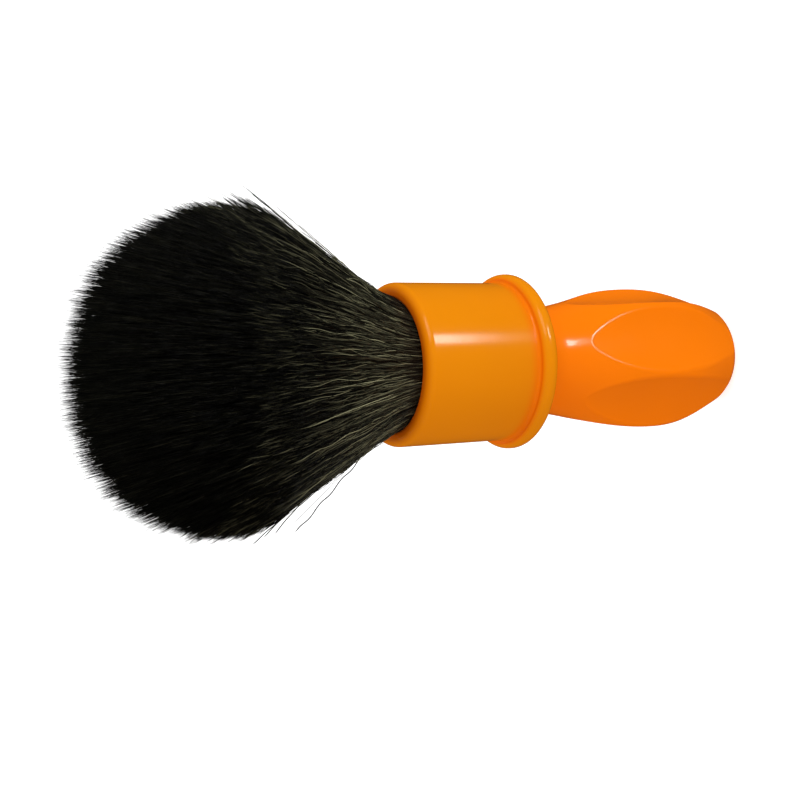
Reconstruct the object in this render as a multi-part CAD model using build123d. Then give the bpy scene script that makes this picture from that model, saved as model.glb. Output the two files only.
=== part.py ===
from build123d import *
import math
import os

# Neck duster brush, standing upright on its base. Millimetres.
# The origin is the centre of the flat base, and +Z runs up the brush's axis to the tips of the bristles.

# Heights above the base
TOTAL_HEIGHT = 150.0
FLANGE_Z = 55.6
LIP_Z = 84.0

DIAGONAL = math.sqrt(0.5)

# Grip: a belly above a well rounded base, and a waist under the flange
BASE_FLAT_RADIUS = 7.6
BASE_EDGE_ROUND = 2.0
BASE_SHOULDER_ROUND = 6.0
BASE_EDGE_ANGLE = 61.0
BASE_SHOULDER_ANGLE = 24.0
LOWER_SIDE_RADIUS = 14.8
LOWER_SIDE_Z = 12.2
BELLY_RADIUS = 15.95
BELLY_Z = 20.8
UPPER_SIDE_RADIUS = 15.05
UPPER_SIDE_Z = 30.7
SHOULDER_RADIUS = 12.5
SHOULDER_Z = 41.0
WAIST_RADIUS = 11.5
WAIST_Z = 46.8
NECK_RADIUS = 11.6

# Flutes: finger hollows down the side of the grip, straight at first and then curving in under it
FLUTE_COUNT = 6
FLUTE_HOLLOW_RADIUS = 21.0
FLUTE_VALLEY_RADIUS = 12.85
FLUTE_TURN_Z = 19.0
FLUTE_TURN_RADIUS = 50.0
FLUTE_LEAN = 1.0
FLUTE_TOP_Z = 45.0
FLUTE_EDGE_ROUND = 1.4

# Cup that holds the knot, with its flange and the spigot that enters the grip
CUP_RADIUS_AT_FLANGE = 16.8
CUP_RADIUS_AT_LIP = 17.1
BORE_RADIUS = 13.8
CUP_FLOOR_Z = 61.0
LIP_OUTER_ROUND = 1.75
LIP_INNER_ROUND = 0.9
FLANGE_RADIUS = 18.65
FLANGE_THICKNESS = 3.7
FLANGE_RIM_ROUND = 1.7
FLANGE_CREASE_ROUND = 0.7
SPIGOT_RADIUS = 6.5
SPIGOT_LENGTH = 5.5
SOCKET_CLEARANCE = 0.05

# Core bored up from the base for the balance weight, closed by a plug
CORE_RADIUS = 6.0
CORE_DEPTH = 34.0
PLUG_LENGTH = 4.0
PLUG_CLEARANCE = 0.05
PLUG_EDGE_CHAMFER = 0.3
WEIGHT_CLEARANCE = 0.1
WEIGHT_EDGE_CHAMFER = 0.6

# Screw joint between cup and grip
SCREW_RADIUS = 2.5
SCREW_HOLE_RADIUS = 2.75
SCREW_LENGTH = 20.0
SCREW_TIP_CHAMFER = 0.5
HEAD_RADIUS = 4.4
HEAD_HEIGHT = 2.6
HEAD_EDGE_ROUND = 0.5
DRIVE_ACROSS_FLATS = 4.0
DRIVE_DEPTH = 1.8
WASHER_RADIUS = 5.2
WASHER_THICKNESS = 1.0
HEAD_POCKET_RADIUS = 5.5
HEAD_POCKET_DEPTH = 4.0
INSERT_RADIUS = 3.9
INSERT_LENGTH = 9.0
INSERT_SUNK = 0.3
KNURL_COUNT = 24
KNURL_WIDTH = 0.3
KNURL_DEPTH = 0.25

# Knot: the filament roots cast in resin, held in a ring and bound with cord
GLUE_THICKNESS = 1.0
RING_CLEARANCE = 0.15
RING_WALL = 0.9
RING_HEIGHT = 8.0
KNOT_HEIGHT = 14.5
KNOT_RADIUS = 12.6
CORD_RADIUS = 0.4
CORD_TURNS = 4
CORD_GAP = 0.02

# Free bristles, as one closed envelope
TUFT_ROOT_RADIUS = 12.4
TUFT_MOUTH_RADIUS = 13.2
TUFT_WIDEST_RADIUS = 33.0
TUFT_WIDEST_Z = 119.6
TUFT_FLARE = 1.16
TUFT_FLARE_STEPS = 5
TUFT_MOUTH_SLOPE = 0.6


def turned(outline):
    """The solid that a closed half section in the XZ plane makes when turned about the Z axis."""
    return revolve(make_face(outline), Axis.Z, 360)


def rod(radius, low_z, high_z):
    """A plain round bar on the Z axis between two heights."""
    return Pos(0, 0, (low_z + high_z) / 2) * Cylinder(radius, high_z - low_z)


def at(radius, height):
    """A point of a half section."""
    return Vector(radius, 0, height)


def on_arc(centre, radius, angle):
    """The point of an arc whose outward normal leans the given angle below level."""
    lean = math.radians(angle)
    return centre + at(radius * math.cos(lean), -radius * math.sin(lean))


def chamfered_rod(radius, low_z, high_z, size):
    """A round bar with both ends chamfered."""
    bar = rod(radius, low_z, high_z)
    return chamfer(bar.edges().filter_by(GeomType.CIRCLE), size)


def grip_outline():
    """Half section of the grip before it is fluted, from the base up to the flange."""
    edge_centre = at(BASE_FLAT_RADIUS, BASE_EDGE_ROUND)
    edge_middle = on_arc(edge_centre, BASE_EDGE_ROUND, (90 + BASE_EDGE_ANGLE) / 2)
    edge_end = on_arc(edge_centre, BASE_EDGE_ROUND, BASE_EDGE_ANGLE)
    centre_step = BASE_SHOULDER_ROUND - BASE_EDGE_ROUND
    shoulder_centre = on_arc(edge_centre, -centre_step, BASE_EDGE_ANGLE)
    middle_angle = (BASE_EDGE_ANGLE + BASE_SHOULDER_ANGLE) / 2
    shoulder_middle = on_arc(shoulder_centre, BASE_SHOULDER_ROUND, middle_angle)
    shoulder_end = on_arc(shoulder_centre, BASE_SHOULDER_ROUND, BASE_SHOULDER_ANGLE)
    lean = math.radians(BASE_SHOULDER_ANGLE)
    neck_end = at(NECK_RADIUS, flange_bottom())
    side = Spline(
        shoulder_end,
        at(LOWER_SIDE_RADIUS, LOWER_SIDE_Z),
        at(BELLY_RADIUS, BELLY_Z),
        at(UPPER_SIDE_RADIUS, UPPER_SIDE_Z),
        at(SHOULDER_RADIUS, SHOULDER_Z),
        at(WAIST_RADIUS, WAIST_Z),
        neck_end,
        tangents=[at(math.sin(lean), math.cos(lean)), at(0, 1)],
    )
    return [
        Line(at(0, 0), at(BASE_FLAT_RADIUS, 0)),
        ThreePointArc(at(BASE_FLAT_RADIUS, 0), edge_middle, edge_end),
        ThreePointArc(edge_end, shoulder_middle, shoulder_end),
        side,
        Line(neck_end, at(0, flange_bottom())),
        Line(at(0, flange_bottom()), at(0, 0)),
    ]


def flange_bottom():
    """Height of the flange's lower face, where the grip meets it."""
    return FLANGE_Z - FLANGE_THICKNESS / 2


def flange_top():
    """Height of the flange's upper face, round the foot of the cup."""
    return FLANGE_Z + FLANGE_THICKNESS / 2


def flute_cutter(angle):
    """The solid that one flute removes: a bar running down the grip, then bending in under it."""
    reach = 2 * BELLY_RADIUS
    bar_height = FLUTE_TOP_Z - FLUTE_TURN_Z
    bar = Pos(FLUTE_HOLLOW_RADIUS, 0, bar_height / 2) * Cylinder(FLUTE_HOLLOW_RADIUS, bar_height)
    ring = Rot(90, 0, 0) * Torus(FLUTE_TURN_RADIUS + FLUTE_HOLLOW_RADIUS, FLUTE_HOLLOW_RADIUS)
    below = Pos(reach / 2, 0, -reach / 2) * Box(2 * reach, 2 * reach, reach)
    bend = (Pos(-FLUTE_TURN_RADIUS, 0, 0) * ring) & below
    cutter = Pos(FLUTE_VALLEY_RADIUS, 0, FLUTE_TURN_Z) * Rot(0, -FLUTE_LEAN, 0) * (bar + bend)
    return Rot(0, 0, angle) * cutter


def is_flute(face):
    """True for a hollow face, which is longer than the turned roundings of the base."""
    is_long = face.bounding_box().size.Z > BASE_SHOULDER_ROUND
    return is_long and face.geom_type in (GeomType.CYLINDER, GeomType.TORUS)


def fluted(body):
    """Cut the flutes and round the free-form edges that they leave."""
    for index in range(FLUTE_COUNT):
        body = body - flute_cutter(index * 360 / FLUTE_COUNT)
    edges = [edge for face in body.faces() if is_flute(face) for edge in face.edges()]
    return fillet([edge for edge in edges if edge.geom_type == GeomType.BSPLINE], FLUTE_EDGE_ROUND)


def make_grip_body():
    """Fluted grip with the core for the weight, and the socket and insert hole in its neck."""
    half_pitch = 180 / FLUTE_COUNT
    body = fluted(Rot(0, 0, half_pitch) * turned(grip_outline()))
    socket_bottom = flange_bottom() - SPIGOT_LENGTH - SOCKET_CLEARANCE
    core = rod(CORE_RADIUS, 0, CORE_DEPTH)
    socket = rod(SPIGOT_RADIUS + SOCKET_CLEARANCE, socket_bottom, flange_bottom())
    insert_hole = rod(INSERT_RADIUS, insert_low_z(), socket_bottom)
    screw_way = rod(SCREW_HOLE_RADIUS, screw_tip_z() - SCREW_TIP_CHAMFER, insert_low_z())
    return body - core - socket - insert_hole - screw_way


def insert_high_z():
    """Top of the threaded insert, sunk a little under the floor of the socket."""
    return flange_bottom() - SPIGOT_LENGTH - INSERT_SUNK


def insert_low_z():
    """Bottom of the threaded insert."""
    return insert_high_z() - INSERT_LENGTH


def pocket_floor_z():
    """Floor of the pocket that takes the screw's head and washer."""
    return CUP_FLOOR_Z - HEAD_POCKET_DEPTH


def head_low_z():
    """Underside of the screw's head, on its washer."""
    return pocket_floor_z() + WASHER_THICKNESS


def screw_tip_z():
    """Lower end of the screw."""
    return head_low_z() - SCREW_LENGTH


def make_base_plug():
    """Disc that closes the core, flush with the base."""
    return chamfered_rod(CORE_RADIUS - PLUG_CLEARANCE, 0, PLUG_LENGTH, PLUG_EDGE_CHAMFER)


def make_balance_weight():
    """Steel bar that fills the core and keeps the brush upright on its base."""
    radius = CORE_RADIUS - WEIGHT_CLEARANCE
    return chamfered_rod(radius, PLUG_LENGTH, CORE_DEPTH, WEIGHT_EDGE_CHAMFER)


def cup_outline():
    """Half section of the cup's outside and bore, with rounded lip and flange rim."""
    rim_inner = FLANGE_RADIUS - FLANGE_RIM_ROUND
    low_rim_z = flange_bottom() + FLANGE_RIM_ROUND
    high_rim_z = flange_top() - FLANGE_RIM_ROUND
    rim_step = FLANGE_RIM_ROUND * DIAGONAL
    low_rim_middle = at(rim_inner + rim_step, low_rim_z - rim_step)
    high_rim_middle = at(rim_inner + rim_step, high_rim_z + rim_step)
    outer_centre = at(CUP_RADIUS_AT_LIP - LIP_OUTER_ROUND, LIP_Z - LIP_OUTER_ROUND)
    inner_centre = at(BORE_RADIUS + LIP_INNER_ROUND, LIP_Z - LIP_INNER_ROUND)
    outer_step = LIP_OUTER_ROUND * DIAGONAL
    inner_step = LIP_INNER_ROUND * DIAGONAL
    outer_start = outer_centre + at(LIP_OUTER_ROUND, 0)
    outer_end = outer_centre + at(0, LIP_OUTER_ROUND)
    inner_start = inner_centre + at(0, LIP_INNER_ROUND)
    inner_end = inner_centre - at(LIP_INNER_ROUND, 0)
    crease_centre = at(CUP_RADIUS_AT_FLANGE + FLANGE_CREASE_ROUND, flange_top() + FLANGE_CREASE_ROUND)
    crease_low = crease_centre - at(0, FLANGE_CREASE_ROUND)
    crease_high = crease_centre - at(FLANGE_CREASE_ROUND, 0)
    crease_step = FLANGE_CREASE_ROUND * DIAGONAL
    return [
        Line(at(0, flange_bottom()), at(rim_inner, flange_bottom())),
        ThreePointArc(at(rim_inner, flange_bottom()), low_rim_middle, at(FLANGE_RADIUS, low_rim_z)),
        Line(at(FLANGE_RADIUS, low_rim_z), at(FLANGE_RADIUS, high_rim_z)),
        ThreePointArc(at(FLANGE_RADIUS, high_rim_z), high_rim_middle, at(rim_inner, flange_top())),
        Line(at(rim_inner, flange_top()), crease_low),
        ThreePointArc(crease_low, crease_centre - at(crease_step, crease_step), crease_high),
        Line(crease_high, outer_start),
        ThreePointArc(outer_start, outer_centre + at(outer_step, outer_step), outer_end),
        Line(outer_end, inner_start),
        ThreePointArc(inner_start, inner_centre + at(-inner_step, inner_step), inner_end),
        Line(inner_end, at(BORE_RADIUS, CUP_FLOOR_Z)),
        Line(at(BORE_RADIUS, CUP_FLOOR_Z), at(0, CUP_FLOOR_Z)),
        Line(at(0, CUP_FLOOR_Z), at(0, flange_bottom())),
    ]


def make_ferrule_cup():
    """Cup with its flange, spigot, screw hole and the pocket for the screw's head."""
    spigot = rod(SPIGOT_RADIUS, flange_bottom() - SPIGOT_LENGTH, flange_bottom())
    screw_hole = rod(SCREW_HOLE_RADIUS, flange_bottom() - SPIGOT_LENGTH, CUP_FLOOR_Z)
    pocket = rod(HEAD_POCKET_RADIUS, pocket_floor_z(), CUP_FLOOR_Z)
    return turned(cup_outline()) + spigot - screw_hole - pocket


def make_threaded_insert():
    """Knurled brass bush in the grip's neck that the screw turns into."""
    low_z = insert_low_z()
    high_z = insert_high_z()
    bush = rod(INSERT_RADIUS, low_z, high_z) - rod(SCREW_RADIUS, low_z, high_z)
    middle_z = (low_z + high_z) / 2
    groove = Box(2 * KNURL_DEPTH, KNURL_WIDTH, INSERT_LENGTH)
    for index in range(KNURL_COUNT):
        bush = bush - Rot(0, 0, index * 360 / KNURL_COUNT) * Pos(INSERT_RADIUS, 0, middle_z) * groove
    return bush


def make_joining_screw():
    """Socket-headed screw that clamps the cup to the grip."""
    low_z = screw_tip_z()
    shank = rod(SCREW_RADIUS, low_z, head_low_z())
    shank = chamfer(shank.edges().sort_by(Axis.Z)[0], SCREW_TIP_CHAMFER)
    head_high_z = head_low_z() + HEAD_HEIGHT
    head = rod(HEAD_RADIUS, head_low_z(), head_high_z)
    head = fillet(head.edges().sort_by(Axis.Z)[-1], HEAD_EDGE_ROUND)
    hexagon = RegularPolygon(DRIVE_ACROSS_FLATS / 2, 6, major_radius=False)
    drive = Pos(0, 0, head_high_z - DRIVE_DEPTH) * extrude(hexagon, DRIVE_DEPTH)
    return shank + head - drive


def make_screw_washer():
    """Flat washer between the screw's head and the floor of its pocket."""
    low_z = pocket_floor_z()
    high_z = low_z + WASHER_THICKNESS
    return rod(WASHER_RADIUS, low_z, high_z) - rod(SCREW_HOLE_RADIUS, low_z, high_z)


def knot_low_z():
    """Underside of the knot, on its bed of epoxy."""
    return CUP_FLOOR_Z + GLUE_THICKNESS


def knot_high_z():
    """Top of the cast resin, where the bristles become free."""
    return knot_low_z() + KNOT_HEIGHT


def make_knot_adhesive():
    """Bed of epoxy that holds the knot to the cup's floor."""
    return rod(BORE_RADIUS, CUP_FLOOR_Z, knot_low_z())


def make_knot_ring():
    """Thin moulded ring round the foot of the knot."""
    outer_radius = BORE_RADIUS - RING_CLEARANCE
    low_z = knot_low_z()
    high_z = low_z + RING_HEIGHT
    return rod(outer_radius, low_z, high_z) - rod(outer_radius - RING_WALL, low_z, high_z)


def cord_heights():
    """Heights of the turns of the binding cord, side by side above the knot ring."""
    first = knot_low_z() + RING_HEIGHT + 2 * CORD_RADIUS
    pitch = 2 * CORD_RADIUS + CORD_GAP
    return [first + index * pitch for index in range(CORD_TURNS)]


def make_knot_resin():
    """Filament roots cast solid in resin, grooved where the binding cord pulls in."""
    body = rod(KNOT_RADIUS, knot_low_z(), knot_high_z())
    for height in cord_heights():
        body = body - Pos(0, 0, height) * Torus(KNOT_RADIUS, CORD_RADIUS + CORD_GAP)
    return body


def make_binding_cord():
    """Turns of cord that draw the bundle together before it is cast."""
    turns = [Pos(0, 0, height) * Torus(KNOT_RADIUS, CORD_RADIUS) for height in cord_heights()]
    return Compound(children=turns)


def flare_point(share):
    """A point of the tuft's side, at a share of the height from the cup's mouth to the widest point."""
    width = (TUFT_WIDEST_RADIUS - TUFT_MOUTH_RADIUS) * (1 - (1 - share) ** TUFT_FLARE)
    return at(TUFT_MOUTH_RADIUS + width, LIP_Z + share * (TUFT_WIDEST_Z - LIP_Z))


def make_bristle_tuft():
    """Envelope of the free bristles: they fill the mouth of the cup, then flare to a domed end."""
    root = at(TUFT_ROOT_RADIUS, knot_high_z())
    mouth = at(TUFT_MOUTH_RADIUS, LIP_Z)
    flare = [flare_point(step / TUFT_FLARE_STEPS) for step in range(1, TUFT_FLARE_STEPS + 1)]
    tip = at(0, TOTAL_HEIGHT)
    dome_height = TOTAL_HEIGHT - TUFT_WIDEST_Z
    dome_middle = at(TUFT_WIDEST_RADIUS * DIAGONAL, TUFT_WIDEST_Z + dome_height * DIAGONAL)
    outline = [
        Line(at(0, knot_high_z()), root),
        Line(root, mouth),
        Spline(mouth, *flare, dome_middle, tip, tangents=[at(TUFT_MOUTH_SLOPE, 1), at(-1, 0)]),
        Line(tip, at(0, knot_high_z())),
    ]
    return turned(outline)


NODES = {
    "grip_body": make_grip_body,
    "base_plug": make_base_plug,
    "balance_weight": make_balance_weight,
    "ferrule_cup": make_ferrule_cup,
    "threaded_insert": make_threaded_insert,
    "joining_screw": make_joining_screw,
    "screw_washer": make_screw_washer,
    "knot_adhesive": make_knot_adhesive,
    "knot_ring": make_knot_ring,
    "knot_resin": make_knot_resin,
    "binding_cord": make_binding_cord,
    "bristle_tuft": make_bristle_tuft,
}


def main():
    os.makedirs("parts", exist_ok=True)
    for name, make in NODES.items():
        shape = make()
        shape.label = name
        export_step(shape, f"parts/{name}.step")


main()
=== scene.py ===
import math
from typing import NamedTuple

import bpy
import numpy as np
from mathutils import Matrix, Vector, kdtree


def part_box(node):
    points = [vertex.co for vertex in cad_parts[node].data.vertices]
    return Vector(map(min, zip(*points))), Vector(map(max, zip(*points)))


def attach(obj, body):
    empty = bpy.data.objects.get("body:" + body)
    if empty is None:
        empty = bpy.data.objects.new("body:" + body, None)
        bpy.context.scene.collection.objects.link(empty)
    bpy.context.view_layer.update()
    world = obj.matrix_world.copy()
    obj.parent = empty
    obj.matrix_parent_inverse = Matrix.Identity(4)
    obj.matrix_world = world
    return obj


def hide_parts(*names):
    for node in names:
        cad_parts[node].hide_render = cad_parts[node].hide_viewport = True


# Looks of the neck duster brush. Lengths are in metres, in the frame of the CAD model.

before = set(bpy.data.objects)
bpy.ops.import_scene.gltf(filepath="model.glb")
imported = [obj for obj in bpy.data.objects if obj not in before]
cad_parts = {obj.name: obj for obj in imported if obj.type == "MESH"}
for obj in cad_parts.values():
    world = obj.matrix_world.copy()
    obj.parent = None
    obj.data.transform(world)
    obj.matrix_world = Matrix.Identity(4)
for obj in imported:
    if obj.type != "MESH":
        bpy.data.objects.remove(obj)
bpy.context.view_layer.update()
MM = 0.001
FULL_TURN = 2 * math.pi
rng = np.random.default_rng(20)


# Places on the cup, read from the frame
cup_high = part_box("ferrule_cup")[1]
LIP_Z = cup_high.z
FLANGE_RADIUS = cup_high.x
FLANGE_HALF_THICKNESS = 1.85 * MM
FLANGE_MIDDLE = Vector((0, 0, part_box("grip_body")[1].z + FLANGE_HALF_THICKNESS))
FLANGE_TOP_Z = FLANGE_MIDDLE.z + FLANGE_HALF_THICKNESS
KNOT_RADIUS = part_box("knot_ring")[1].x

# Places on the tuft. The outermost bristles lie a little inside the CAD tuft, which their uneven tips then
# reach
MOUTH_INSET = 0.4 * MM
WIDEST_INSET = 0.9 * MM
WIDEST_DROP = 3.2 * MM
tuft_low, tuft_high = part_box("bristle_tuft")
tuft_points = np.array([v.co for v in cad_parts["bristle_tuft"].data.vertices])
tuft_radii = np.hypot(tuft_points[:, 0], tuft_points[:, 1])
ROOT_Z = tuft_low.z
TIP_Z = tuft_high.z
MOUTH_RADIUS = KNOT_RADIUS - MOUTH_INSET
WIDEST_RADIUS = float(tuft_radii.max()) - WIDEST_INSET
WIDEST_Z = float(tuft_points[tuft_radii.argmax(), 2]) - WIDEST_DROP


# Camera: it looks down on the standing brush, rolled so that the bristles point left. The aim is how far
# the picture's middle lies to the right of the flange's middle and above it, as the camera sees them
CAMERA_AZIMUTH = math.radians(-75)
CAMERA_ELEVATION = math.radians(28.72)
CAMERA_ROLL = math.radians(2.41)
CAMERA_DISTANCE = 399.4 * MM
CAMERA_AIM_RIGHT = -22.5 * MM
CAMERA_AIM_UP = -8.25 * MM
CAMERA_LENS = 83.9
CAMERA_SENSOR = 36
CAMERA_CLIP = (0.01, 20)
TOWARDS_CAMERA = Vector((math.cos(CAMERA_AZIMUTH), math.sin(CAMERA_AZIMUTH), 0))
ASIDE = Vector((-math.sin(CAMERA_AZIMUTH), math.cos(CAMERA_AZIMUTH), 0))
UPRIGHT = Vector((0, 0, 1))


def make_camera():
    """The camera and its place."""
    back = math.cos(CAMERA_ELEVATION) * TOWARDS_CAMERA + math.sin(CAMERA_ELEVATION) * UPRIGHT
    level = math.sin(CAMERA_ELEVATION) * TOWARDS_CAMERA - math.cos(CAMERA_ELEVATION) * UPRIGHT
    right = math.cos(CAMERA_ROLL) * level - math.sin(CAMERA_ROLL) * ASIDE
    up = math.sin(CAMERA_ROLL) * level + math.cos(CAMERA_ROLL) * ASIDE
    place = FLANGE_MIDDLE + CAMERA_DISTANCE * back + CAMERA_AIM_RIGHT * right + CAMERA_AIM_UP * up
    data = bpy.data.cameras.new("camera")
    data.lens = CAMERA_LENS
    data.sensor_width = CAMERA_SENSOR
    data.clip_start, data.clip_end = CAMERA_CLIP
    camera = bpy.data.objects.new("camera", data)
    camera.matrix_world = Matrix.Translation(place) @ Matrix((right, up, back)).transposed().to_4x4()
    bpy.context.scene.collection.objects.link(camera)
    bpy.context.scene.camera = camera


# Light
class Lamp(NamedTuple):
    """A softbox aimed at the brush: degrees round from the camera and up from level, metres, and watts."""

    name: str
    azimuth: float
    elevation: float
    distance: float
    width: float
    height: float
    power: float
    diffuse: bool = True
    glossy: bool = True
    colour: tuple = (1, 1, 1)


# The gleam lamp makes the long highlight on the cup. It is under the floor, which casts no shadow
FILL_COLOUR = (1.0, 0.62, 0.45)
LAMPS = (
    Lamp("key_softbox", 48, 22, distance=0.9, width=0.5, height=0.5, power=4.7),
    Lamp("back_softbox", 190, 40, distance=1.2, width=0.8, height=0.8, power=6.0, glossy=False),
    Lamp("fill_softbox", -65, 0, 1.0, 0.8, 0.8, power=2.2, glossy=False, colour=FILL_COLOUR),
    Lamp("gleam_lamp", 31.5, -26.2, distance=0.248, width=0.045, height=0.034, power=0.28, diffuse=False),
)
WHITE = (1, 1, 1, 1)
WORLD_STRENGTH = 0.69
WORLD_STRENGTHS_BY_RAY = (("Is Glossy Ray", 0.02), ("Is Camera Ray", 1.0))


def direction(azimuth_from_camera, elevation):
    """Unit vector at an azimuth turned from the camera's, and an elevation, in degrees."""
    turn = CAMERA_AZIMUTH + math.radians(azimuth_from_camera)
    lift = math.radians(elevation)
    return Vector((math.cos(turn) * math.cos(lift), math.sin(turn) * math.cos(lift), math.sin(lift)))


def make_light(lamp):
    """A softbox that looks at the middle of the brush."""
    aim = Vector((0, 0, TIP_Z / 2))
    data = bpy.data.lights.new(lamp.name, "AREA")
    data.shape = "RECTANGLE"
    data.size = lamp.width
    data.size_y = lamp.height
    data.energy = lamp.power
    data.color = lamp.colour
    light = bpy.data.objects.new(lamp.name, data)
    back = direction(lamp.azimuth, lamp.elevation)
    light.location = aim + lamp.distance * back
    light.rotation_mode = "QUATERNION"
    light.rotation_quaternion = back.to_track_quat("Z", "Y")
    light.visible_camera = False
    light.visible_diffuse = lamp.diffuse
    light.visible_glossy = lamp.glossy
    bpy.context.scene.collection.objects.link(light)


def make_world():
    """Even pale light from all round, nearly black in reflections and white to the camera."""
    world = bpy.data.worlds.new("studio")
    bpy.context.scene.world = world
    world.use_nodes = True
    tree = world.node_tree
    lit = tree.nodes["Background"]
    lit.inputs["Color"].default_value = WHITE
    lit.inputs["Strength"].default_value = WORLD_STRENGTH
    path = tree.nodes.new("ShaderNodeLightPath")
    shown = lit.outputs[0]
    for ray, strength in WORLD_STRENGTHS_BY_RAY:
        other = tree.nodes.new("ShaderNodeBackground")
        other.inputs["Strength"].default_value = strength
        other.inputs["Color"].default_value = WHITE
        mix = tree.nodes.new("ShaderNodeMixShader")
        tree.links.new(path.outputs[ray], mix.inputs[0])
        tree.links.new(shown, mix.inputs[1])
        tree.links.new(other.outputs[0], mix.inputs[2])
        shown = mix.outputs[0]
    tree.links.new(shown, tree.nodes["World Output"].inputs["Surface"])


# Node trees. A Mix node has a set of sockets for each kind of value, and these are the ones for colours
MIX_FIRST_COLOUR = 6
MIX_SECOND_COLOUR = 7
MIX_MIXED_COLOUR = 2


class Graph:
    """A material's node tree, with its Principled shader."""

    def __init__(self, name):
        self.material = bpy.data.materials.new(name)
        self.material.use_nodes = True
        self.tree = self.material.node_tree
        self.shader = self.tree.nodes["Principled BSDF"]

    def add(self, kind, inputs=None, **settings):
        """Adds a node. An input's value is a number, a colour, or another node's output."""
        made = self.tree.nodes.new("ShaderNode" + kind)
        for key, value in settings.items():
            setattr(made, key, value)
        for key, value in (inputs or {}).items():
            self.feed(made.inputs[key], value)
        return made

    def feed(self, socket, value):
        if isinstance(value, bpy.types.NodeSocket):
            self.tree.links.new(value, socket)
        else:
            socket.default_value = value

    def maths(self, operation, *values):
        made = self.add("Math", operation=operation)
        for socket, value in zip(made.inputs, values):
            self.feed(socket, value)
        return made.outputs[0]

    def place(self):
        """The place of each point in the frame of the CAD model."""
        return self.add("TexCoord").outputs["Object"]

    def noise(self, scale, detail):
        inputs = {"Vector": self.place(), "Scale": scale, "Detail": detail}
        return self.add("TexNoise", inputs).outputs["Fac"]

    def ramp(self, value, low, high):
        """A colour between two stops, each of them a position from 0 to 1 and its colour."""
        made = self.add("ValToRGB", {"Fac": value})
        for element, (position, colour) in zip(made.color_ramp.elements, (low, high)):
            element.position = position
            element.color = (*colour, 1)
        return made.outputs["Color"]

    def mix(self, share, first, second):
        """The first colour turned into the second by a share from 0 to 1."""
        made = self.add("Mix", {"Factor": share}, data_type="RGBA")
        self.feed(made.inputs[MIX_FIRST_COLOUR], first)
        self.feed(made.inputs[MIX_SECOND_COLOUR], second)
        return made.outputs[MIX_MIXED_COLOUR]

    def between(self, value, low, high):
        """value from 0 to 1 turned into low to high."""
        return self.add("MapRange", {"Value": value, "To Min": low, "To Max": high}).outputs["Result"]

    def stretch(self, value, source, target):
        """value turned from one range into another, and kept inside it."""
        inputs = {"Value": value, "From Min": source[0], "From Max": source[1]}
        inputs.update({"To Min": target[0], "To Max": target[1]})
        return self.add("MapRange", inputs).outputs["Result"]

    def bump(self, height, distance, strength):
        inputs = {"Height": height, "Distance": distance, "Strength": strength}
        self.feed(self.shader.inputs["Normal"], self.add("Bump", inputs).outputs["Normal"])

    def set(self, **values):
        """Sets the shader's inputs, each named with an underscore for every space."""
        for key, value in values.items():
            self.feed(self.shader.inputs[key.replace("_", " ")], value)


def scaled(colour, factor):
    return tuple(channel * factor for channel in colour)


# Moulded plastic of the grip and the cup. A noise's scale is in waves to the metre, its detail in octaves
GRIP_ORANGE = (0.94, 0.198, 0.001)
CUP_ORANGE = (0.785, 0.24, 0.001)
GRIP_ROUGHNESS = 0.16
CUP_ROUGHNESS = 0.165
ROUGHNESS_DRIFT = 0.03
PLASTIC_IOR = 1.5
PLASTIC_SPECULAR = 0.13
CLOUD_SCALE = 45
CLOUD_DETAIL = 3
CLOUD_EDGES = (0.3, 0.7)
CLOUD_SHADE = 0.96
GLOSS_SCALE = 300
GLOSS_DETAIL = 4
GRAIN_SCALE = 700
GRAIN_DETAIL = 2
GRAIN_DEPTH = 0.02 * MM
GRAIN_STRENGTH = 0.25

# Painted shade of the cup: a darker, redder orange standing for shade and for light bounced off the orange
# plastic, inside the lip and in the crease above the flange. Each pair of radii takes it from none to full
PAINTED_SHADE_ORANGE = (0.86, 0.15, 0.001)
LIP_SHADE = 0.8
LIP_PAINTED_SHADE_RADII = (KNOT_RADIUS + 3.35 * MM, KNOT_RADIUS + 1.25 * MM)
CREASE_PAINTED_SHADE_SHARE = 0.8
CREASE_PAINTED_SHADE_REACH = 2.4 * MM
CREASE_PAINTED_SHADE_RADII = (FLANGE_RADIUS - 0.35 * MM, FLANGE_RADIUS - 1.15 * MM)


def with_painted_shade(graph, colour, painted_shade):
    """The cup's colour with painted shade: darker, redder inside the lip and in the crease above the
    flange.
    """
    parts = graph.add("SeparateXYZ", {"Vector": graph.place()})
    x_squared = graph.maths("MULTIPLY", parts.outputs["X"], parts.outputs["X"])
    y_squared = graph.maths("MULTIPLY", parts.outputs["Y"], parts.outputs["Y"])
    radius = graph.maths("SQRT", graph.maths("ADD", x_squared, y_squared))
    lip = graph.stretch(radius, LIP_PAINTED_SHADE_RADII, (0, 1))
    away = graph.maths("ABSOLUTE", graph.maths("SUBTRACT", parts.outputs["Z"], FLANGE_TOP_Z))
    crease = graph.stretch(away, (CREASE_PAINTED_SHADE_REACH, 0), (0, CREASE_PAINTED_SHADE_SHARE))
    crease = graph.maths("MULTIPLY", crease, graph.stretch(radius, CREASE_PAINTED_SHADE_RADII, (0, 1)))
    with_crease = graph.mix(crease, colour, (*painted_shade, 1))
    return graph.mix(lip, with_crease, (*scaled(painted_shade, LIP_SHADE), 1))


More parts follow.
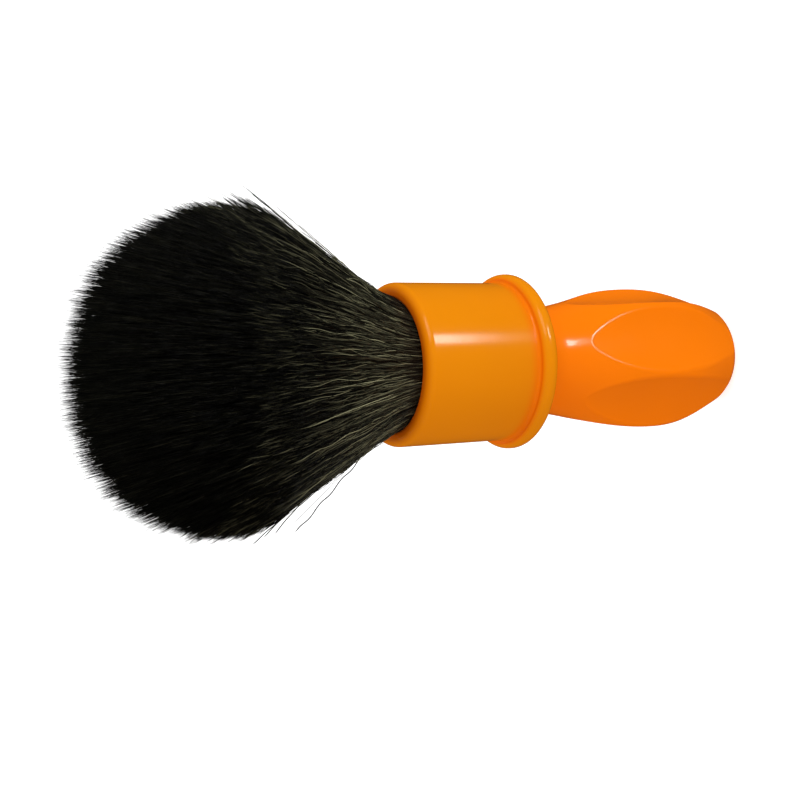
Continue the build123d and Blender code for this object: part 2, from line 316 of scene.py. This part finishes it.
def moulded_plastic(name, colour, roughness, painted_shade=None):
    """Glossy moulded plastic: faint cloudiness in the colour, a slightly uneven gloss, and any painted
    shade.
    """
    graph = Graph(name)
    cloud = graph.noise(CLOUD_SCALE, CLOUD_DETAIL)
    base = graph.ramp(cloud, (CLOUD_EDGES[0], scaled(colour, CLOUD_SHADE)), (CLOUD_EDGES[1], colour))
    # Painted shade inside the cup's lip and in its crease, when a shade colour is given
    graph.set(Base_Color=with_painted_shade(graph, base, painted_shade) if painted_shade else base)
    gloss = graph.noise(GLOSS_SCALE, GLOSS_DETAIL)
    graph.set(Roughness=graph.between(gloss, roughness - ROUGHNESS_DRIFT, roughness + ROUGHNESS_DRIFT))
    graph.set(IOR=PLASTIC_IOR, Specular_IOR_Level=PLASTIC_SPECULAR)
    graph.bump(graph.noise(GRAIN_SCALE, GRAIN_DETAIL), GRAIN_DEPTH, GRAIN_STRENGTH)
    return graph.material


# Filament. Black turns pale by a share that differs from strand to strand: partly paler strands and partly
# painted light and glints on the outer fibres. The share fades out within the reach, and the factors at
# the two ends of the mouth's and the tip's stretch of the strand make it smaller: painted shade in the
# gap at the lip, and painted shade at the tips to meet the darker inner layer
FILAMENT_BLACK = (0.0015, 0.0016, 0.0011)
OUTER_PALE_AND_PAINTED_GLINT = (0.86, 0.84, 0.48)
# The inner pale is a darker copy of the outer pale: painted shade for the bristles deep in the tuft
INNER_PALE_IN_PAINTED_SHADE = (0.12, 0.117, 0.07)
FILAMENT_ROUGHNESS = 0.42
FILAMENT_SPECULAR = 0.16
PALE_REACH = (0.6, 1.5)
PALE_POWER = 2.3
PALE_DRIFT = (0.7, 1.3)
# Painted shade on the pale strands near the lip and at their tips
MOUTH_PAINTED_SHADE_STRETCH = (0.385, 0.55)
MOUTH_PAINTED_SHADE_FACTORS = (0.6, 1.0)
TIP_PAINTED_SHADE_STRETCH = (0.92, 1.0)
TIP_PAINTED_SHADE_FACTORS = (1.0, 0.35)
COLUMNS = 256


def bristle_material(name, dark, light):
    """Black filament. Some strands are pale just above the cup and fade to black on the way to the tip.

    The pale is partly paler strands and partly painted light and glints on the fibres.
    The UV layer OFBake holds a strand's column in X and the share along the strand in Y.
    """
    graph = Graph(name)
    parts = graph.add("SeparateXYZ", {"Vector": graph.add("UVMap", uv_map="OFBake").outputs["UV"]})
    column = graph.maths("FLOOR", graph.maths("MULTIPLY", parts.outputs["X"], COLUMNS))
    chance = graph.add("TexWhiteNoise", {"W": column}, noise_dimensions="1D")
    chances = graph.add("SeparateColor", {"Color": chance.outputs["Color"]})
    along = parts.outputs["Y"]
    # The pale share: partly paler strands, partly painted light and glints on the fibres
    reach = graph.between(chances.outputs["Red"], *PALE_REACH)
    fade = graph.maths("SUBTRACT", 1.0, graph.maths("DIVIDE", along, reach))
    fade = graph.maths("MAXIMUM", fade, 0.0)
    strength = graph.maths("POWER", chances.outputs["Green"], PALE_POWER)
    share = graph.maths("MULTIPLY", fade, strength)
    share = graph.maths("MULTIPLY", share, graph.between(chances.outputs["Blue"], *PALE_DRIFT))
    # Painted shade: the pale dimmed in the gap at the lip and at the outer strands' tips
    share = graph.maths("MULTIPLY", share, graph.stretch(along, MOUTH_PAINTED_SHADE_STRETCH, MOUTH_PAINTED_SHADE_FACTORS))
    share = graph.maths("MULTIPLY", share, graph.stretch(along, TIP_PAINTED_SHADE_STRETCH, TIP_PAINTED_SHADE_FACTORS))
    graph.set(Base_Color=graph.mix(share, (*dark, 1), (*light, 1)))
    graph.set(Roughness=FILAMENT_ROUGHNESS, Specular_IOR_Level=FILAMENT_SPECULAR)
    return graph.material


# Materials of the hidden pieces, each with a darker and a lighter tone
STEEL_TONES = ((0.42, 0.42, 0.43), (0.55, 0.55, 0.56))
BRASS_TONES = ((0.66, 0.48, 0.2), (0.78, 0.58, 0.26))
RESIN_TONES = ((0.42, 0.27, 0.08), (0.5, 0.34, 0.12))
BLACK_TONES = ((0.012, 0.012, 0.013), (0.02, 0.02, 0.021))
TWINE_TONES = ((0.5, 0.43, 0.3), (0.64, 0.57, 0.43))
PATCH_DETAIL = 4
PATCH_EDGES = (0.35, 0.65)
PATCH_ROUGHNESS_DRIFT = 0.05


def two_tone(name, tones, scale, metallic, roughness):
    """A material whose colour drifts between two tones in patches of a size set by scale."""
    dark, light = tones
    graph = Graph(name)
    patches = graph.noise(scale, PATCH_DETAIL)
    graph.set(Base_Color=graph.ramp(patches, (PATCH_EDGES[0], dark), (PATCH_EDGES[1], light)))
    drift = PATCH_ROUGHNESS_DRIFT
    graph.set(Metallic=metallic, Roughness=graph.between(patches, roughness - drift, roughness + drift))
    return graph.material


# Shape of the tuft: how soon it flares past the cup's mouth, and how square its dome is
MOUTH_SOFTNESS = 0.8 * MM
FLARE_POWER = 1.056
SLOPE_PAST_WIDEST = 0.45
DOME_POWER = 2.36
DOME_SAMPLES = 400


def spread(height):
    """Radius of the outermost bristles at a height."""
    above = MOUTH_SOFTNESS * np.logaddexp(0, (height - LIP_Z) / MOUTH_SOFTNESS)
    share = np.clip(above / (WIDEST_Z - LIP_Z), 0, 1)
    flare = (WIDEST_RADIUS - MOUTH_RADIUS) * (1 - (1 - share) ** FLARE_POWER)
    return MOUTH_RADIUS + flare + SLOPE_PAST_WIDEST * np.maximum(height - WIDEST_Z, 0)


def dome_radius(height):
    """Radius of the domed end of the tuft at a height above its widest point."""
    share = np.clip((height - WIDEST_Z) / (TIP_Z - WIDEST_Z), 0, 1)
    return WIDEST_RADIUS * (1 - share**DOME_POWER) ** (1 / DOME_POWER)


def tip_heights(shares):
    """Height at which a bristle that starts at that share of the root's radius meets the dome."""
    heights = np.linspace(WIDEST_Z, TIP_Z, DOME_SAMPLES)
    limits = dome_radius(heights) / spread(heights)
    return np.interp(shares, limits[::-1], heights[::-1])


# Bristles: they lean to the middles of clumps, drift apart past the lip, crimp in waves of two lengths and
# end at uneven heights. The tuft leans a little to one side. A gamma distribution gives the sizes of crimps
CLUMP_COUNT = 3400
CLUMP_AREA = 1.05
CLUMP_PULL = 0.75
CLUMP_GATHER_POWER = 4
CLUMP_SCATTER = 1.1 * MM
TIP_RISE = 1.6 * MM
TIP_SCATTER = 0.65 * MM
DRIFT_MM = 1.0
DRIFT_POWER = 1.3
CRIMP_WAVES = ((11 * MM, 1.0), (19 * MM, 1.6))
CRIMP_LENGTH_FACTORS = (0.7, 1.4)
CRIMP_SHAPE = 1.3
CRIMP_SCALE = 0.75
CRIMP_START_REACH = 8 * MM
LEAN_OF_TUFT = 0.9 * MM
LEAN_POWER = 3


def clumped(roots):
    """Root places of the clump that each bristle's tip leans to, and how far the clump stands out."""
    angles = rng.uniform(0, FULL_TURN, CLUMP_COUNT)
    shares = np.sqrt(rng.uniform(0, CLUMP_AREA, CLUMP_COUNT))
    centres = np.stack([shares * np.cos(angles), shares * np.sin(angles)], 1)
    tree = kdtree.KDTree(CLUMP_COUNT)
    for index, centre in enumerate(centres):
        tree.insert((*centre, 0), index)
    tree.balance()
    nearest = [tree.find((*root, 0))[1] for root in roots]
    rises = rng.normal(0, CLUMP_SCATTER, CLUMP_COUNT)
    return centres[nearest], rises[nearest]


def add_crimp(flat, heights, crimp):
    """Adds each bristle's own waves to its places across the tuft."""
    count = len(flat)
    for wave, share in CRIMP_WAVES:
        phase = rng.uniform(0, FULL_TURN, (count, 2))
        size = crimp * share * rng.gamma(CRIMP_SHAPE, CRIMP_SCALE, (count, 2))
        length = wave * rng.uniform(*CRIMP_LENGTH_FACTORS, count)
        turn = FULL_TURN * heights / length[:, None]
        ease = np.clip((heights - ROOT_Z) / CRIMP_START_REACH, 0, 1)
        for axis in (0, 1):
            flat[:, :, axis] += ease * size[:, axis, None] * np.sin(turn + phase[:, axis, None])


def bristle_paths(count, inner_share, steps, crimp):
    """Centre lines of bristles rooted between inner_share and 1 of the knot's radius.

    The result has a bristle, a step and a coordinate as its three axes.
    """
    shares = np.sqrt(rng.uniform(inner_share**2, 1, count))
    angles = rng.uniform(0, FULL_TURN, count)
    roots = np.stack([shares * np.cos(angles), shares * np.sin(angles)], 1)
    centres, rises = clumped(roots)
    ends = tip_heights(shares) + TIP_RISE * (1 - shares**2) + rises + rng.normal(0, TIP_SCATTER, count)
    heights = ROOT_Z + (ends[:, None] - ROOT_Z) * steps[None, :]
    free = np.clip((heights - LIP_Z) / (TIP_Z - LIP_Z), 0, None)
    gather = np.clip((heights - LIP_Z) / (ends[:, None] - LIP_Z), 0, 1) ** CLUMP_GATHER_POWER
    places = roots[:, None, :] + CLUMP_PULL * gather[:, :, None] * (centres - roots)[:, None, :]
    flat = spread(heights)[:, :, None] * places
    drift = rng.normal(0, DRIFT_MM, (count, 2)) * MM
    flat += free[:, :, None] ** DRIFT_POWER * drift[:, None, :]
    add_crimp(flat, heights, crimp)
    bend = -LEAN_OF_TUFT * free**LEAN_POWER
    return np.stack([flat[:, :, 0] + bend * ASIDE.x, flat[:, :, 1] + bend * ASIDE.y, heights], 2)


# Bristles that leave the side of the tuft
class Stray(NamedTuple):
    """A named stray.

    Its fields are degrees round from the camera, the height above the lip where it leaves the side, its
    length beyond that, its slope away from the side, and the size of its waves.
    """

    turn: float
    leaves: float
    length: float
    slope: float
    wave: float


STRAYS = (
    Stray(-90, 3.5 * MM, 19.5 * MM, 0.36, 0.24 * MM),
    Stray(-90, 17.0 * MM, 10.5 * MM, 0.42, 0.10 * MM),
    Stray(-89, 17.0 * MM, 13.2 * MM, 0.26, 0.10 * MM),
    Stray(-88, 16.0 * MM, 17.0 * MM, 0.19, 0.08 * MM),
)
STRAY_WAVE = 5.0 * MM
STRAY_THICKNESS = 2.1
STRAY_TAPER_START = 0.98

# Flyaways are drawn by chance, most of them on the loose side of the tuft and the rest all round it
FLYAWAY_COUNT = 400
LOOSE_SIDE = 78
LOOSE_SPREAD = 14
ALL_ROUND_SHARE = 0.25
FLYAWAY_LEAVES_MM = (6, 22)
FLYAWAY_LENGTHS_MM = (10, 26)
FLYAWAY_WAVES_MM = (0.01, 0.06)
FLYAWAY_SLOPE_SHAPE = 1.8
FLYAWAY_SLOPE_SCALE = 0.042
FLYAWAY_STEEPEST = 0.2
FLYAWAY_THICKNESSES = (0.7, 1.1)


def stray_paths(steps):
    """Centre lines of the named strays and then of the flyaways, with the same axes as bristle_paths."""
    named = len(STRAYS)
    total = named + FLYAWAY_COUNT
    turns = rng.normal(LOOSE_SIDE, LOOSE_SPREAD, FLYAWAY_COUNT)
    turns = np.append([stray.turn for stray in STRAYS], turns)
    all_round = rng.random(total) < ALL_ROUND_SHARE
    all_round[:named] = False
    turns = np.where(all_round, rng.uniform(0, 360, total), turns)
    leaves = rng.uniform(*FLYAWAY_LEAVES_MM, FLYAWAY_COUNT) * MM
    leaves = LIP_Z + np.append([stray.leaves for stray in STRAYS], leaves)
    lengths = rng.uniform(*FLYAWAY_LENGTHS_MM, FLYAWAY_COUNT) * MM
    lengths = np.minimum(lengths, WIDEST_Z - leaves[named:])
    lengths = np.append([stray.length for stray in STRAYS], lengths)
    slopes = rng.gamma(FLYAWAY_SLOPE_SHAPE, FLYAWAY_SLOPE_SCALE, FLYAWAY_COUNT)
    slopes = np.append([stray.slope for stray in STRAYS], np.minimum(slopes, FLYAWAY_STEEPEST))
    waves = rng.uniform(*FLYAWAY_WAVES_MM, FLYAWAY_COUNT) * MM
    waves = np.append([stray.wave for stray in STRAYS], waves)
    heights = ROOT_Z + ((leaves + lengths)[:, None] - ROOT_Z) * steps[None, :]
    beyond = np.maximum(heights - leaves[:, None], 0)
    radii = spread(heights) + slopes[:, None] * beyond
    phase = rng.uniform(0, FULL_TURN, total)[:, None]
    ease = np.clip(beyond / STRAY_WAVE, 0, 1)
    radii += ease * waves[:, None] * np.sin(FULL_TURN * heights / STRAY_WAVE + phase)
    angles = CAMERA_AZIMUTH + np.radians(turns)[:, None]
    return np.stack([radii * np.cos(angles), radii * np.sin(angles), heights], 2)


# Meshes of strands. Each strand keeps to the middle of its column of the UV layer, clear of the next one
BRISTLE_RADIUS = 0.062 * MM
BRISTLE_THICKNESSES = (0.7, 1.15)
TAPER_START = 0.93
TIP_SHARE = 0.45
SIDES = 3
COLUMN_START = 0.3
COLUMN_STEP = 0.2
TRIANGLES_PER_PIECE = 190000


def strand_radii(steps, thickness, taper_start=TAPER_START):
    """Radius along each strand: full at first, then tapering to a fine tip."""
    taper = np.clip((steps - taper_start) / (1 - taper_start), 0, 1)
    return thickness[:, None] * (1 - (1 - TIP_SHARE) * taper[None, :])


def strand_vertices(points, radii):
    """Rings round each centre line, and then its tip. The axes are a strand, a vertex and a coordinate."""
    count = len(points)
    tangents = np.gradient(points, axis=1)
    tangents /= np.linalg.norm(tangents, axis=2, keepdims=True)
    guide = np.stack([-points[:, 0, 1], points[:, 0, 0], np.zeros(count)], 1)
    guide = guide / np.linalg.norm(guide, axis=1, keepdims=True)
    guide = np.broadcast_to(guide[:, None, :], points.shape)
    normals = guide - (guide * tangents).sum(2, keepdims=True) * tangents
    normals /= np.linalg.norm(normals, axis=2, keepdims=True)
    binormals = np.cross(tangents, normals)
    start = rng.uniform(0, FULL_TURN, count)
    corners = []
    for side in range(SIDES):
        angle = (start + side * FULL_TURN / SIDES)[:, None, None]
        offset = np.cos(angle) * normals + np.sin(angle) * binormals
        corners.append(points + radii[:, :, None] * offset)
    rings = np.stack(corners, 2)[:, :-1].reshape(count, -1, 3)
    return np.concatenate([rings, points[:, -1:]], 1)


def strand_faces(ring_count):
    """Faces of one strand as lists of vertex numbers: the root cap, the sides and the tip."""
    faces = [list(reversed(range(SIDES)))]
    for ring in range(ring_count - 1):
        here, there = ring * SIDES, (ring + 1) * SIDES
        for side in range(SIDES):
            after = (side + 1) % SIDES
            faces.append([here + side, here + after, there + after, there + side])
    last = (ring_count - 1) * SIDES
    tip = ring_count * SIDES
    return faces + [[last + side, last + (side + 1) % SIDES, tip] for side in range(SIDES)]


def strand_mesh(name, vertices, faces):
    """One mesh of many strands that share a list of faces."""
    count, per_strand = vertices.shape[:2]
    corners = np.concatenate(faces)
    sizes = np.array([len(face) for face in faces])
    strand = np.arange(count)[:, None]
    loops = (corners[None, :] + strand * per_strand).ravel()
    starts = (np.cumsum(sizes) - sizes)[None, :] + strand * len(corners)
    mesh = bpy.data.meshes.new(name)
    mesh.vertices.add(count * per_strand)
    mesh.vertices.foreach_set("co", vertices.astype(np.float32).ravel())
    mesh.loops.add(len(loops))
    mesh.loops.foreach_set("vertex_index", loops.astype(np.int32))
    mesh.polygons.add(count * len(faces))
    mesh.polygons.foreach_set("loop_start", starts.ravel().astype(np.int32))
    mesh.polygons.foreach_set("use_smooth", np.ones(count * len(faces), bool))
    mesh.update(calc_edges=True)
    return mesh


def add_strand_uvs(mesh, count, corners, steps):
    """The UV layer that tells the material a strand's column and the share along the strand."""
    column = rng.integers(0, COLUMNS, count)
    ring_of = np.minimum(corners // SIDES, len(steps) - 1)
    inside = COLUMN_START + COLUMN_STEP * (corners % SIDES)
    uvs = np.empty((count, len(corners), 2), np.float32)
    uvs[:, :, 0] = (column[:, None] + inside[None, :]) / COLUMNS
    uvs[:, :, 1] = steps[ring_of][None, :]
    layer = mesh.uv_layers.new(name="OFBake")
    layer.data.foreach_set("uv", uvs.ravel())


def make_strands(name, points, radii, steps, material):
    """A piece of many strands, which rides on the brush and stands for the CAD tuft."""
    faces = strand_faces(len(steps) - 1)
    mesh = strand_mesh(name, strand_vertices(points, radii), faces)
    add_strand_uvs(mesh, len(points), np.concatenate(faces), steps)
    mesh.materials.append(material)
    made = bpy.data.objects.new(name, mesh)
    bpy.context.scene.collection.objects.link(made)
    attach(made, "root")
    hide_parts("bristle_tuft")


def make_bristles(name, count, inner_share, steps, crimp, material):
    """Bristles of one layer, in pieces of limited size."""
    triangles = (len(steps) - 2) * 2 * SIDES + SIDES + 1
    pieces = math.ceil(count * triangles / TRIANGLES_PER_PIECE)
    for number in range(pieces):
        share = count // pieces
        points = bristle_paths(share, inner_share, steps, crimp)
        radii = strand_radii(steps, BRISTLE_RADIUS * rng.uniform(*BRISTLE_THICKNESSES, share))
        make_strands(f"{name}_{number + 1}", points, radii, steps, material)


def make_strays(steps, material):
    """The bristles that stand away from the tuft's side."""
    points = stray_paths(steps)
    thickness = rng.uniform(*FLYAWAY_THICKNESSES, len(points))
    thickness[: len(STRAYS)] = STRAY_THICKNESS
    radii = strand_radii(steps, BRISTLE_RADIUS * thickness, STRAY_TAPER_START)
    make_strands("stray_bristles", points, radii, steps, material)


# Floor
FLOOR_REACH = 6.0
FLOOR_GREY = (0.6, 0.6, 0.6, 1)
FLOOR_ROUGHNESS = 0.9
FLOOR_GLOW = 0.72


def make_floor():
    """Pale floor, bright enough to read as white, on which only the closest shadow shows."""
    mesh = bpy.data.meshes.new("floor")
    signs = ((-1, -1), (1, -1), (1, 1), (-1, 1))
    mesh.from_pydata([(x * FLOOR_REACH, y * FLOOR_REACH, 0) for x, y in signs], [], [(0, 1, 2, 3)])
    graph = Graph("pale_floor")
    graph.set(Base_Color=FLOOR_GREY, Roughness=FLOOR_ROUGHNESS, Specular_IOR_Level=0.0)
    graph.set(Emission_Color=WHITE, Emission_Strength=FLOOR_GLOW)
    mesh.materials.append(graph.material)
    floor = bpy.data.objects.new("floor", mesh)
    bpy.context.scene.collection.objects.link(floor)
    floor.visible_diffuse = False
    floor.visible_glossy = False
    floor.visible_shadow = False


def dress(material, *nodes):
    """Gives CAD nodes their material."""
    for node in nodes:
        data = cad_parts[node].data
        data.materials.clear()
        data.materials.append(material)


bpy.context.scene.view_settings.view_transform = "Standard"
make_camera()
for lamp in LAMPS:
    make_light(lamp)
make_world()
make_floor()

grip_plastic = moulded_plastic("grip_orange_plastic", GRIP_ORANGE, GRIP_ROUGHNESS)
# The cup's plastic has painted shade and bounced light inside the lip and in the crease above the flange
cup_plastic = moulded_plastic("cup_orange_plastic", CUP_ORANGE, CUP_ROUGHNESS, PAINTED_SHADE_ORANGE)
steel = two_tone("dull_steel", STEEL_TONES, scale=300, metallic=1, roughness=0.35)
brass = two_tone("brass", BRASS_TONES, scale=300, metallic=1, roughness=0.3)
resin = two_tone("amber_resin", RESIN_TONES, scale=120, metallic=0, roughness=0.3)
black = two_tone("black_plastic", BLACK_TONES, scale=200, metallic=0, roughness=0.45)
twine = two_tone("waxed_twine", TWINE_TONES, scale=900, metallic=0, roughness=0.8)
dress(grip_plastic, "grip_body", "base_plug")
dress(cup_plastic, "ferrule_cup")
dress(steel, "balance_weight", "joining_screw", "screw_washer")
dress(brass, "threaded_insert")
dress(resin, "knot_adhesive", "knot_resin")
dress(black, "knot_ring")
dress(twine, "binding_cord")

# Layers. The steps are the shares along a strand at which it has a ring: few in the cup, more above it
OUTER_STEPS = np.concatenate([[0, 0.15, 0.3], np.linspace(0.36, 0.9, 18), [0.93, 0.965, 1.0]])
OUTER_COUNT = 12000
OUTER_FROM_SHARE = 0.86
OUTER_CRIMP = 0.13 * MM
INNER_STEPS = np.array([0, 0.12, 0.3, 0.55, 0.8, 0.92, 1.0])
INNER_COUNT = 30000
INNER_CRIMP = 0.05 * MM
STRAY_STEPS = np.concatenate([[0, 0.15, 0.3], np.linspace(0.36, 1.0, 55)])
outer_filament = bristle_material("black_filament", FILAMENT_BLACK, OUTER_PALE_AND_PAINTED_GLINT)
# The inner layer's filament is the outer one in painted shade
inner_filament = bristle_material("inner_black_filament", FILAMENT_BLACK, INNER_PALE_IN_PAINTED_SHADE)
make_bristles("outer_bristles", OUTER_COUNT, OUTER_FROM_SHARE, OUTER_STEPS, OUTER_CRIMP, outer_filament)
make_bristles("inner_bristles", INNER_COUNT, 0.0, INNER_STEPS, INNER_CRIMP, inner_filament)
make_strays(STRAY_STEPS, outer_filament)
